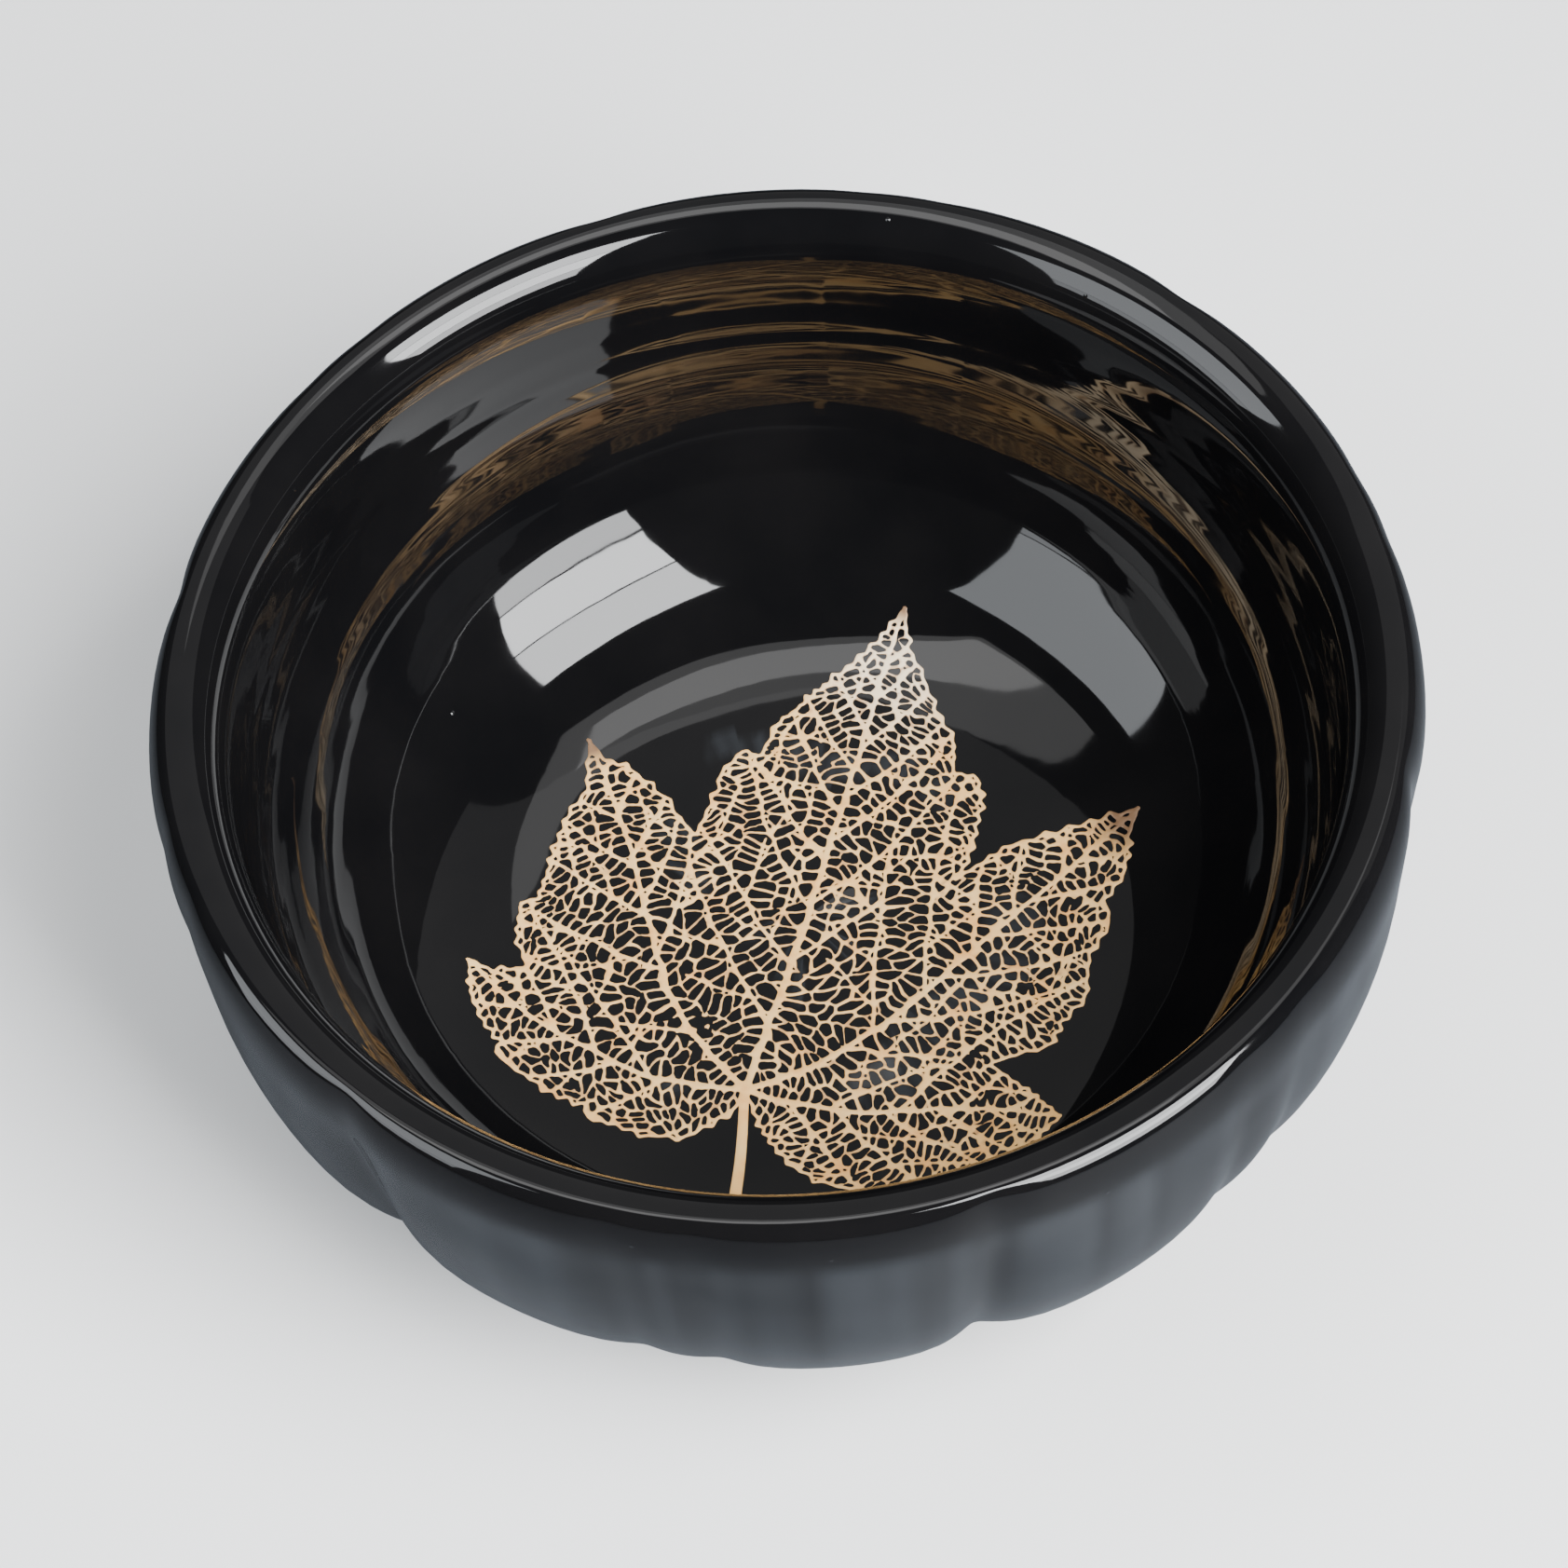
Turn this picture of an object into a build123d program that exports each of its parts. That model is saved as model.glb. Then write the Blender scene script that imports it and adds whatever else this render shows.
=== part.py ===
"""Lobed ceramic bowl with a gold leaf print on its floor.

Four separate pieces of material make up the bowl:
  clay_body        the fired clay: lobed wall, rim, floor and foot ring
  glaze_coat       the black glass skin over the wall, the rim and the inside
  underside_glaze  the same glass inside the foot ring, cut off from the coat by the bare ring
  leaf_decal       the gold print fired on to the floor

All sizes are in millimetres. +Z is up, and the origin is the centre of the foot ring's resting face.
Profiles are given as (radius, height) pairs. Lobes run round the outside only; the inside is round.
"""

from build123d import *
import math
import os

# Driving dimensions
RIM_RADIUS = 65.6
HEIGHT = 58.0
GLAZE = 0.35  # thickness of the glaze coat
PRINT = 0.12  # thickness of the gold print, with the glaze that fuses over it

# Outer wall: a superellipse from the foot up to the shoulder, on the lobes' crests
SHOULDER_Z = 53.0
WALL_DROP = 56.0
WALL_POWER_Z = 2.7
WALL_POWER_R = 3.0
WALL_START_Z = 6.0  # below this height the wall is round, with no lobes

# Lip, above the shoulder: a gentle roll, then a tight outer corner, up to a round crown
CROWN_RADIUS = 63.17
LIP_PROFILE = [
    (65.38, 54.9),
    (65.02, 56.2),
    (64.41, 57.3),
    (64.0, 57.7),
    (63.6, 57.92),
    (CROWN_RADIUS, HEIGHT),
]

# Lobes: twelve valleys, every other one split in two by a narrow rib
VALLEY_PAIRS = 6
FIRST_RIB_DEG = 14.0
RIB_HALF_DEG = 3.9
VALLEY_WIDTH_DEG = 2.6
VALLEY_ROUNDING_DEG = 1.5
SINGLE_VALLEY = 1.0  # share of the full depth
SPLIT_VALLEY = 0.42
STEP_DEG = 2.0  # spacing of the points on a cross-section
# Depth of a single valley at each height
VALLEY_DEPTH = [
    (6.0, 0.0),
    (9.0, 0.6),
    (14.0, 1.5),
    (20.0, 2.2),
    (33.0, 2.45),
    (41.0, 2.15),
    (48.0, 1.4),
    (53.0, 0.9),
    (HEIGHT, 0.75),
]
WALL_SECTIONS = (6.0, 8.0, 11.0, 15.0, 20.0, 26.0, 32.0, 38.0, 44.0, 49.0, SHOULDER_Z)

# Inside of the bowl, from the centre of the floor up the wall and over the rim's broad inner rounding.
# The last point stands just above the crown, so that the cut leaves a narrow flat there.
INNER_PROFILE = [
    (0.0, 10.5),
    (20.0, 10.7),
    (36.0, 12.0),
    (44.5, 15.8),
    (49.4, 20.2),
    (53.6, 26.3),
    (56.3, 33.5),
    (57.3, 41.5),
    (57.5, 48.5),
    (58.15, 54.1),
    (59.46, 56.5),
    (61.0, 57.6),
    (62.7, HEIGHT + 0.05),
]
FLOOR_TANGENT = (1.0, 0.0)
CROWN_TANGENT = (1.0, 0.08)
OFFSET_STEPS = 24  # points taken along the profile to draw its offset

# Foot
FOOT_OUTER_RADIUS = 38.0
FOOT_INNER_RADIUS = 33.0
FOOT_EDGE = 0.8  # rounding of the ring's resting face
FOOT_TOP_Z = 3.1  # the ring's side runs up to here, and the bowl's underside sweeps out from it
UNDERSIDE_Z = 4.0
UNDERSIDE_WALL_Z = 4.2  # the underside passes under the wall's line at this height
RECESS_Z = 4.6  # the clay's underside inside the ring
RECESS_ROUNDING = 1.2
GLAZE_LINE_Z = 1.8  # the ring is bare below this height

# The leaf, seen from above: each lobe's edge from sinus to tip to sinus, clockwise from the stalk
LEAF_BASE = (-8.0, -21.3)
STALK_END = (-10.4, -38.0)
STALK_HALF_WIDTH = 0.75
WEST_BASAL = [
    (-9.2, -23.5), (-14.5, -26.5), (-18.5, -26.2), (-22.0, -24.5), (-25.0, -23.5), (-25.3, -21.6), (-28.6, -20.0),
    (-33.0, -16.6), (-34.6, -14.8), (-33.8, -13.2), (-35.6, -10.7), (-36.8, -7.5), (-37.0, -2.5), (-34.3, -4.0),
]
WEST_LOBE = [
    (-30.8, -3.5), (-31.5, 0.5), (-31.0, 4.8), (-29.0, 5.2), (-27.1, 10.6), (-25.2, 15.6), (-22.9, 18.9),
    (-22.3, 25.3), (-20.7, 22.7), (-17.8, 21.2), (-15.2, 18.1), (-13.2, 15.0),
]
NORTH_LOBE = [
    (-11.2, 11.9), (-8.3, 17.5), (-7.9, 19.6), (-5.2, 22.4), (-3.3, 21.6), (-0.8, 25.8), (5.1, 30.3),
    (11.1, 34.6), (14.6, 38.0), (14.5, 33.5), (15.9, 29.6), (16.8, 25.4), (18.5, 21.0), (18.2, 17.0),
    (20.7, 16.0), (20.8, 13.0), (19.5, 8.0), (18.1, 4.4),
]
EAST_LOBE = [
    (16.9, 3.1), (23.5, 6.8), (31.3, 8.2), (38.0, 8.9), (36.4, 5.5), (35.5, 1.1), (33.0, -1.7),
    (33.2, -4.9), (30.7, -8.3), (29.7, -13.6), (26.6, -16.6), (25.2, -19.3), (22.5, -19.8),
]
EAST_BASAL = [
    (18.7, -20.8), (22.6, -25.2), (25.5, -29.0), (22.0, -31.6), (16.5, -34.0), (9.0, -35.6), (2.7, -35.2),
    (-0.4, -33.8), (-3.4, -31.5), (-5.3, -28.5), (-6.9, -25.0),
]


def between(table, x):
    """Straight-line value of a table of (x, value) pairs."""
    for (x0, v0), (x1, v1) in zip(table, table[1:]):
        if x <= x1:
            return v0 + (v1 - v0) * (x - x0) / (x1 - x0)
    return table[-1][1]


def wall_radius(z):
    """Radius of the lobes' crests on the outer wall."""
    drop = ((SHOULDER_Z - z) / WALL_DROP) ** WALL_POWER_Z
    return RIM_RADIUS * (1.0 - drop) ** (1.0 / WALL_POWER_R)


def groove(degrees):
    """How deep the wall is cut at an azimuth, as a share of a single valley's depth."""

    def valley(centre):
        off = abs((degrees - centre + 180.0) % 360.0 - 180.0)
        smooth = math.hypot(off, VALLEY_ROUNDING_DEG) - VALLEY_ROUNDING_DEG
        return math.exp(-smooth / VALLEY_WIDTH_DEG)

    pitch = 360.0 / VALLEY_PAIRS
    total = 0.0
    for pair in range(VALLEY_PAIRS):
        rib = FIRST_RIB_DEG + pair * pitch
        total += SINGLE_VALLEY * valley(rib + pitch / 2.0)
        total += SPLIT_VALLEY * (valley(rib - RIB_HALF_DEG) + valley(rib + RIB_HALF_DEG))
    return total


def cross_section(z, crest_radius, inset, share=1.0):
    """Closed curve round the wall at height z, moved inwards by inset.

    Share is how far out the curve lies between the crown, at 0, and the crests and valleys below it, at 1.
    """
    depth = between(VALLEY_DEPTH, z)
    points = []
    for step in range(round(360.0 / STEP_DEG)):
        degrees = step * STEP_DEG
        widest = crest_radius - inset - depth * groove(degrees)
        radius = CROWN_RADIUS + (widest - CROWN_RADIUS) * share
        points.append(Vector(radius, 0, z).rotate(Axis.Z, degrees))
    return Wire([Spline(points, periodic=True)])


def lobed_block(inset):
    """Solid bounded by the outer wall and lip, from WALL_START_Z to the crown."""
    sections = [cross_section(z, wall_radius(z), inset) for z in WALL_SECTIONS]
    lip_height = HEIGHT - SHOULDER_Z
    for radius, z in LIP_PROFILE:
        share = (radius - CROWN_RADIUS) / (RIM_RADIUS - CROWN_RADIUS)
        lowered = SHOULDER_Z + (z - SHOULDER_Z) * (lip_height - inset) / lip_height
        sections.append(cross_section(lowered, RIM_RADIUS, inset, share))
    return Solid.make_loft(sections)


def turned(outline):
    """Solid of revolution about Z from a closed list of edges in the XZ plane."""
    return revolve(make_face(Wire(outline)), Axis.Z)


def at(radius, z):
    return Vector(radius, 0, z)


def rounded_corner(start, corner, end):
    """Curve from start to end, tangent to both legs of the corner."""
    return Bezier(start, corner, end)


def foot_block(inset, lowest):
    """Round underside of the wall and the foot ring, from the ring up to WALL_START_Z."""
    ring = FOOT_OUTER_RADIUS - inset
    joint = at(wall_radius(WALL_START_Z) - inset, WALL_START_Z)
    corner = at(ring, FOOT_TOP_Z + inset)
    middle = at(wall_radius(UNDERSIDE_WALL_Z) - inset, UNDERSIDE_Z + inset / 2)
    sweep = Spline([corner, middle, joint])
    edges = [
        Line(at(0, lowest), at(ring, lowest)),
        Line(at(ring, lowest), corner),
        sweep,
        Line(joint, at(0, WALL_START_Z)),
        Line(at(0, WALL_START_Z), at(0, lowest)),
    ]
    return turned(edges)


def inner_curve(inset):
    """The inside profile, moved into the material by inset."""
    ends = [at(*FLOOR_TANGENT), at(*CROWN_TANGENT)]
    curve = Spline([at(r, z) for r, z in INNER_PROFILE], tangents=ends)
    if inset == 0.0:
        return curve
    moved = []
    for step in range(OFFSET_STEPS + 1):
        share = step / OFFSET_STEPS
        tangent = curve.tangent_at(share)
        moved.append(curve.position_at(share) + Vector(tangent.Z, 0, -tangent.X) * inset)
    return Spline(moved, tangents=ends)


def cavity(inset):
    """The space inside the bowl, up to above the rim."""
    curve = inner_curve(inset)
    middle, crown = curve.position_at(0), curve.position_at(1)
    above = 1.1 * HEIGHT
    edges = [
        curve,
        Line(crown, at(crown.X, above)),
        Line(at(crown.X, above), at(0, above)),
        Line(at(0, above), middle),
    ]
    return turned(edges)


def recess(inset):
    """The hollow inside the foot ring, its walls moved into the material by inset."""
    radius, below = FOOT_INNER_RADIUS + inset, -1.0
    side_end = at(radius, RECESS_Z - RECESS_ROUNDING)
    top_start = at(radius - RECESS_ROUNDING, RECESS_Z)
    edges = [
        Line(at(0, below), at(radius, below)),
        Line(at(radius, below), side_end),
        rounded_corner(side_end, at(radius, RECESS_Z), top_start),
        Line(top_start, at(0, RECESS_Z)),
        Line(at(0, RECESS_Z), at(0, below)),
    ]
    return turned(edges)


def clay_body():
    """Fired clay: everything inside the glaze, and the bare foot ring."""
    block = lobed_block(GLAZE) + foot_block(GLAZE, 0.0)
    body = block - cavity(GLAZE) - recess(0.0)
    rests = body.edges().filter_by(GeomType.CIRCLE).group_by(Axis.Z)[0]
    return fillet(rests, FOOT_EDGE)


def glaze_coat(clay):
    """Black glass over the wall, the rim and the inside, down to the glaze line on the ring."""
    glazed = lobed_block(0.0) + foot_block(0.0, GLAZE_LINE_Z)
    inside_ring = Cylinder((FOOT_OUTER_RADIUS + FOOT_INNER_RADIUS) / 2.0, 2.5 * RECESS_Z)
    return glazed - cavity(0.0) - clay - inside_ring


def underside_glaze():
    """The pool of glass inside the foot ring, from the glaze line up."""
    below_line = Cylinder(RIM_RADIUS, 2.0 * GLAZE_LINE_Z)
    return recess(0.0) - Pos(0, 0, -GLAZE) * recess(-GLAZE) - below_line


def leaf_outline():
    """Edge of the leaf, without its stalk."""
    points = WEST_BASAL + WEST_LOBE + NORTH_LOBE + EAST_LOBE + EAST_BASAL
    return make_face(Polyline(*points, close=True))


def stalk_outline():
    """Straight stalk from the leaf's base, a little wider at its cut end."""
    base, end = Vector(*LEAF_BASE), Vector(*STALK_END)
    side = (end - base).normalized().rotate(Axis.Z, 90.0) * STALK_HALF_WIDTH
    return make_face(Polyline(base + side * 0.8, end + side, end - side, base - side * 0.8, close=True))


def leaf_decal():
    """Gold print: the leaf's outline laid on the curved floor."""
    skin = cavity(0.0) - Pos(0, 0, PRINT) * cavity(0.0)
    prism = extrude(leaf_outline() + stalk_outline(), HEIGHT / 2.0)
    return skin & prism


def main():
    os.makedirs("parts", exist_ok=True)
    clay = clay_body()
    pieces = {
        "clay_body": clay,
        "glaze_coat": glaze_coat(clay),
        "underside_glaze": underside_glaze(),
        "leaf_decal": leaf_decal(),
    }
    for name, shape in pieces.items():
        export_step(shape, f"parts/{name}.step")


main()
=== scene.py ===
"""Looks of the lobed black-glazed bowl with its gold leaf print.

The CAD frame gives the clay and the glaze under the foot. Two pieces are made here: the glaze coat, as a
fine skin with its lobes, rim and throwing rings, and the leaf print, as a raised network of gold veins.
Profiles and plans are in millimetres, like the part's drawing, and become metres where a mesh is made.
"""

import math

import bpy
import numpy as np
from mathutils import Matrix, Vector
from mathutils.geometry import delaunay_2d_cdt


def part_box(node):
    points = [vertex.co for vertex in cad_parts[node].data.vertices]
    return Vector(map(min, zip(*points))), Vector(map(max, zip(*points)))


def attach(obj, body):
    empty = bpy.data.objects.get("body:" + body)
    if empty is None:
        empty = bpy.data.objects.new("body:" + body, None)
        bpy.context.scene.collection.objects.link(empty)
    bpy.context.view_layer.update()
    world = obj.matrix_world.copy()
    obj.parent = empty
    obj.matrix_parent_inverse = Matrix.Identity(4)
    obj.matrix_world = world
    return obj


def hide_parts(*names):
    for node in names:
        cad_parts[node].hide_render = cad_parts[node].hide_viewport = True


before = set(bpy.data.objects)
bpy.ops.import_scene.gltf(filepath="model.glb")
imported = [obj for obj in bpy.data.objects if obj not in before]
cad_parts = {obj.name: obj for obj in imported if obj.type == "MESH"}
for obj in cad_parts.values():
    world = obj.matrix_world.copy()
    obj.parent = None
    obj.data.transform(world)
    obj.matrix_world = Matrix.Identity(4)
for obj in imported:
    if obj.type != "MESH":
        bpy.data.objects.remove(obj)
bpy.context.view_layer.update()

MM = 0.001
SEED = 7
coat_low, coat_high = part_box("glaze_coat")
RIM_RADIUS = 65.6
HEIGHT = coat_high.z / MM
GLAZE_LINE_Z = coat_low.z / MM
GLAZE = 0.35
SKIN_THICKNESS = GLAZE - 0.02  # a little less than the glaze, so that the hidden face stays off the clay
RANDOM_TURN = 6.28  # upper end of a random phase, in radians

# --- The bowl's shape -------------------------------------------------------------------------------

SHOULDER_Z = 53.0
WALL_DROP = 56.0
WALL_POWER_Z = 2.7
WALL_POWER_R = 3.0
FOOT_RADIUS = 38.0
CROWN_RADIUS = 63.17
# The lip's outside: a gentle roll, then a tight corner up to the crown
LIP_PROFILE = [(65.38, 54.9), (65.02, 56.2), (64.41, 57.3), (64.0, 57.7), (63.6, 57.92), (CROWN_RADIUS, 58.0)]

VALLEY_PAIRS = 6
FIRST_RIB_DEG = 14.0
RIB_HALF_DEG = 3.9
VALLEY_WIDTH_DEG = 2.6
VALLEY_ROUNDING_DEG = 1.5
SPLIT_VALLEY = 0.42
# Height, and how deep a single valley is there below the crests
VALLEY_DEPTH = [
    (6.0, 0.0), (9.0, 0.6), (14.0, 1.5), (20.0, 2.2), (33.0, 2.45), (41.0, 2.15), (48.0, 1.4), (53.0, 0.9),
    (58.0, 0.75),
]

# Inside, from the middle of the floor up the wall and over the rim's broad inner rounding
INNER_PROFILE = [
    (0.0, 10.5), (20.0, 10.7), (36.0, 12.0), (44.5, 15.8), (49.4, 20.2), (53.6, 26.3), (56.3, 33.5),
    (57.3, 41.5), (57.5, 48.5), (58.15, 54.1), (59.46, 56.5), (61.0, 57.6), (62.7, HEIGHT - 0.01),
]
# Faint rings left by the potter's tool: height on the inside wall, and how proud each stands
THROWING_RINGS = [
    (16.5, 0.012), (20.0, 0.02), (24.5, 0.015), (29.5, 0.02), (33.8, 0.025), (37.5, 0.015), (41.2, 0.035),
    (45.5, 0.015),
]
RING_WIDTH = 0.9
RINGS_START_Z = 14.5
OUTSIDE_WAVE = 0.045
INSIDE_WAVE = 0.03
SKIN_CLEARANCE = 0.03  # keeps the skin's outside within the drawing's box

# --- The leaf, seen from above ----------------------------------------------------------------------

LEAF_BASE = (-8.0, -21.3)
STALK_END = (-10.4, -38.0)
WEST_BASAL = [
    (-9.2, -23.5), (-14.5, -26.5), (-18.5, -26.2), (-22.0, -24.5), (-25.0, -23.5), (-25.3, -21.6),
    (-28.6, -20.0), (-33.0, -16.6), (-34.6, -14.8), (-33.8, -13.2), (-35.6, -10.7), (-36.8, -7.5),
    (-37.0, -2.5), (-34.3, -4.0),
]
WEST_LOBE = [
    (-30.8, -3.5), (-31.5, 0.5), (-31.0, 4.8), (-29.0, 5.2), (-27.1, 10.6), (-25.2, 15.6), (-22.9, 18.9),
    (-22.3, 25.3), (-20.7, 22.7), (-17.8, 21.2), (-15.2, 18.1), (-13.2, 15.0),
]
NORTH_LOBE = [
    (-11.2, 11.9), (-8.3, 17.5), (-7.9, 19.6), (-5.2, 22.4), (-3.3, 21.6), (-0.8, 25.8), (5.1, 30.3),
    (11.1, 34.6), (14.6, 38.0), (14.5, 33.5), (15.9, 29.6), (16.8, 25.4), (18.5, 21.0), (18.2, 17.0),
    (20.7, 16.0), (20.8, 13.0), (19.5, 8.0), (18.1, 4.4),
]
EAST_LOBE = [
    (16.9, 3.1), (23.5, 6.8), (31.3, 8.2), (38.0, 8.9), (36.4, 5.5), (35.5, 1.1), (33.0, -1.7),
    (33.2, -4.9), (30.7, -8.3), (29.7, -13.6), (26.6, -16.6), (25.2, -19.3), (22.5, -19.8),
]
EAST_BASAL = [
    (18.7, -20.8), (22.6, -25.2), (25.5, -29.0), (22.0, -31.6), (16.5, -34.0), (9.0, -35.6), (2.7, -35.2),
    (-0.4, -33.8), (-3.4, -31.5), (-5.3, -28.5), (-6.9, -25.0),
]
LEAF_EDGE = WEST_BASAL + WEST_LOBE + NORTH_LOBE + EAST_LOBE + EAST_BASAL + [LEAF_BASE]

# Main veins from the base to each lobe's tip: course, half width at the base, and the shares of the
# length at which side veins leave to the left and to the right
MAIN_VEINS = {
    "west_basal": (
        [(-12.5, -20.2), (-19.3, -18.0), (-24.2, -14.7), (-28.2, -11.9), (-32.0, -8.4), (-37.0, -2.5)],
        0.13, (0.26, 0.42, 0.60, 0.78), (0.30, 0.48, 0.62, 0.76, 0.88)),
    "west": (
        [(-10.6, -17.5), (-13.6, -12.6), (-15.2, -7.8), (-16.4, -2.0), (-17.7, 5.8), (-19.2, 14.0),
         (-22.3, 25.3)],
        0.17, (0.20, 0.37, 0.52, 0.65, 0.78), (0.42, 0.56, 0.68, 0.80, 0.90)),
    "north": (
        [(-5.9, -16.0), (-1.4, -4.6), (3.1, 7.7), (7.1, 18.4), (10.7, 29.0), (14.6, 38.0)],
        0.24, (0.14, 0.26, 0.38, 0.48, 0.58, 0.67, 0.76, 0.85), (0.27, 0.39, 0.52, 0.62, 0.72, 0.82, 0.90)),
    "east": (
        [(-2.5, -19.7), (2.5, -17.7), (10.8, -12.2), (17.5, -6.8), (25.7, 0.0), (32.0, 4.7), (38.0, 8.9)],
        0.17, (0.28, 0.42, 0.55, 0.67, 0.80), (0.22, 0.32, 0.46, 0.60, 0.72, 0.84)),
    "east_basal": (
        [(-4.7, -22.7), (-1.9, -23.7), (4.3, -25.4), (11.3, -25.8), (18.5, -26.5), (25.5, -29.0)],
        0.13, (0.28, 0.50, 0.68, 0.84), (0.15, 0.30, 0.46, 0.62, 0.78)),
}
TIP_HALF_WIDTH = 0.16
SIDE_HALF_WIDTHS = (0.21, 0.15)
BRANCH_HALF_WIDTH = 0.15
EDGE_HALF_WIDTH = 0.18
TOOTH_HEIGHT = 0.62
TOOTH_SPACING = (1.3, 2.6)
TOOTH_SHARES = (0.2, 1.3)  # the least and the most of that height
TOOTH_PEAK = 0.55  # where along a tooth its tip is
TOOTHLESS_RUN = 3.0  # teeth fade out over this length towards a sharp corner
STALK_HALF_WIDTHS = (0.50, 0.68)
WEB_HALF_WIDTH = 0.155
WEB_CELL = (0.86, 1.80)  # spacing of the finest cells along and across the nearest vein
WEB_TRIES = 45000
PRINT_HEIGHT = 0.09
PRINT_ROOT = 0.05  # how far the print is sunk into the glaze
SHOULDER_WIDTH = 0.07
SHOULDER_SHARE = 0.55  # height of the sloping shoulder's outer edge, as a share of the print's
LINE_TOLERANCE = 0.018

CELL = 0.1  # step of the plan grid on which the leaf is drawn
HALF_PLAN = 41.0
GRID = int(2 * HALF_PLAN / CELL) + 1


# --- Curves -----------------------------------------------------------------------------------------

def sample_curve(points, spacing):
    """Catmull-Rom curve through the points, with about the spacing asked for between samples."""
    p = np.array(points, float)
    ends = np.vstack([2 * p[0] - p[1], p, 2 * p[-1] - p[-2]])
    steps_per_span = 24
    t = np.linspace(0, 1, steps_per_span, endpoint=False)[:, None]
    spans = []
    for a, b, c, d in zip(ends, ends[1:], ends[2:], ends[3:]):
        square, cube = 2 * a - 5 * b + 4 * c - d, 3 * b - a - 3 * c + d
        spans.append(0.5 * (2 * b + (c - a) * t + square * t**2 + cube * t**3))
    fine = np.vstack(spans + [p[-1:]])
    length = np.concatenate([[0], np.cumsum(np.hypot(*np.diff(fine, axis=0).T))])
    count = max(2, round(length[-1] / spacing) + 1)
    s = np.linspace(0, length[-1], count)
    return np.column_stack([np.interp(s, length, fine[:, k]) for k in (0, 1)])


class SmoothCurve:
    """Cubic spline through (radius, height) points, with chosen end directions."""

    def __init__(self, points, start, end):
        p = np.array(points, float)
        self.s = np.concatenate([[0], np.cumsum(np.hypot(*np.diff(p, axis=0).T))])
        self.p = p
        self.m = np.column_stack([self.slopes(p[:, k], start[k], end[k]) for k in (0, 1)])

    def slopes(self, y, first, last):
        h = np.diff(self.s)
        n = len(y)
        a, b = np.zeros((n, n)), np.zeros(n)
        a[0, 0] = a[-1, -1] = 1.0
        b[0], b[-1] = first, last
        for i in range(1, n - 1):
            a[i, i - 1 : i + 2] = h[i], 2 * (h[i - 1] + h[i]), h[i - 1]
            b[i] = 3 * (h[i] * (y[i] - y[i - 1]) / h[i - 1] + h[i - 1] * (y[i + 1] - y[i]) / h[i])
        return np.linalg.solve(a, b)

    def at(self, s):
        i = np.clip(np.searchsorted(self.s, s, side="right") - 1, 0, len(self.s) - 2)
        h = self.s[i + 1] - self.s[i]
        t = (s - self.s[i]) / h
        h00, h10 = 2 * t**3 - 3 * t**2 + 1, t**3 - 2 * t**2 + t
        h01, h11 = 3 * t**2 - 2 * t**3, t**3 - t**2
        p, m = self.p.T, self.m.T
        return [h00 * p[k, i] + h10 * h * m[k, i] + h01 * p[k, i + 1] + h11 * h * m[k, i + 1] for k in (0, 1)]


# --- The bowl's surface -----------------------------------------------------------------------------

def wall_radius(z):
    return RIM_RADIUS * (1.0 - ((SHOULDER_Z - z) / WALL_DROP) ** WALL_POWER_Z) ** (1.0 / WALL_POWER_R)


def groove(degrees):
    """How deep the wall is cut at each azimuth, as a share of a single valley's depth."""

    def valley(centre):
        off = np.abs((degrees - centre + 180.0) % 360.0 - 180.0)
        return np.exp(-(np.hypot(off, VALLEY_ROUNDING_DEG) - VALLEY_ROUNDING_DEG) / VALLEY_WIDTH_DEG)

    pitch = 360.0 / VALLEY_PAIRS
    total = np.zeros_like(degrees)
    for pair in range(VALLEY_PAIRS):
        rib = FIRST_RIB_DEG + pair * pitch
        total += valley(rib + pitch / 2.0)
        total += SPLIT_VALLEY * (valley(rib - RIB_HALF_DEG) + valley(rib + RIB_HALF_DEG))
    return total


def outer_profile():
    """Crest line of the outside, from the glaze line on the foot up to the crown."""
    foot = [
        (FOOT_RADIUS - 0.3, GLAZE_LINE_Z), (FOOT_RADIUS - 0.02, GLAZE_LINE_Z + 0.22), (FOOT_RADIUS, 2.5),
        (FOOT_RADIUS + 0.3, 2.98), (FOOT_RADIUS + 1.6, 3.2), (FOOT_RADIUS + 3.6, 3.42),
    ]
    heights = (4.3, 6.0, 8.5, 12.0, 16.0, 21.0, 27.0, 33.0, 38.0, 43.0, 48.0, SHOULDER_Z)
    return foot + [(wall_radius(z), z) for z in heights] + LIP_PROFILE


def azimuths():
    """Columns of the skin, in degrees, closest together where the valleys are."""
    pitch = 360.0 / VALLEY_PAIRS
    rib_ends, valley_starts = 8.0, 25.5
    near_rib = np.linspace(0.0, rib_ends, 16, endpoint=False)
    lobe = np.linspace(rib_ends, valley_starts, 9, endpoint=False)
    near_valley = np.linspace(valley_starts, pitch / 2.0, 7, endpoint=False)
    half = np.concatenate([near_rib, lobe, near_valley])
    sector = np.concatenate([half, pitch - np.append(half, pitch / 2.0)[:0:-1]])
    return np.concatenate([FIRST_RIB_DEG + pitch * k + sector for k in range(VALLEY_PAIRS)])


def unevenness(azimuth, s, rng, size):
    """Slow hand-made waviness: a few long waves round and up the surface."""
    total = np.zeros(np.broadcast(azimuth, s).shape)
    for _ in range(9):
        turns = int(rng.integers(1, 9))
        pitch = rng.uniform(14.0, 60.0)
        phase = rng.uniform(0, RANDOM_TURN)
        total = total + np.sin(turns * azimuth + phase + 2 * math.pi * s / pitch * rng.choice([-1, 1]))
    return size * total / 3.0


inner = SmoothCurve(INNER_PROFILE, (1.0, 0.0), (1.0, 0.12))
INNER_S = np.linspace(0, inner.s[-1], 3000)
INNER_R, INNER_Z = inner.at(INNER_S)


def floor_height(r):
    """Height of the glaze inside the bowl at a radius, before its unevenness."""
    return np.interp(r, INNER_R, INNER_Z)


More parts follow.
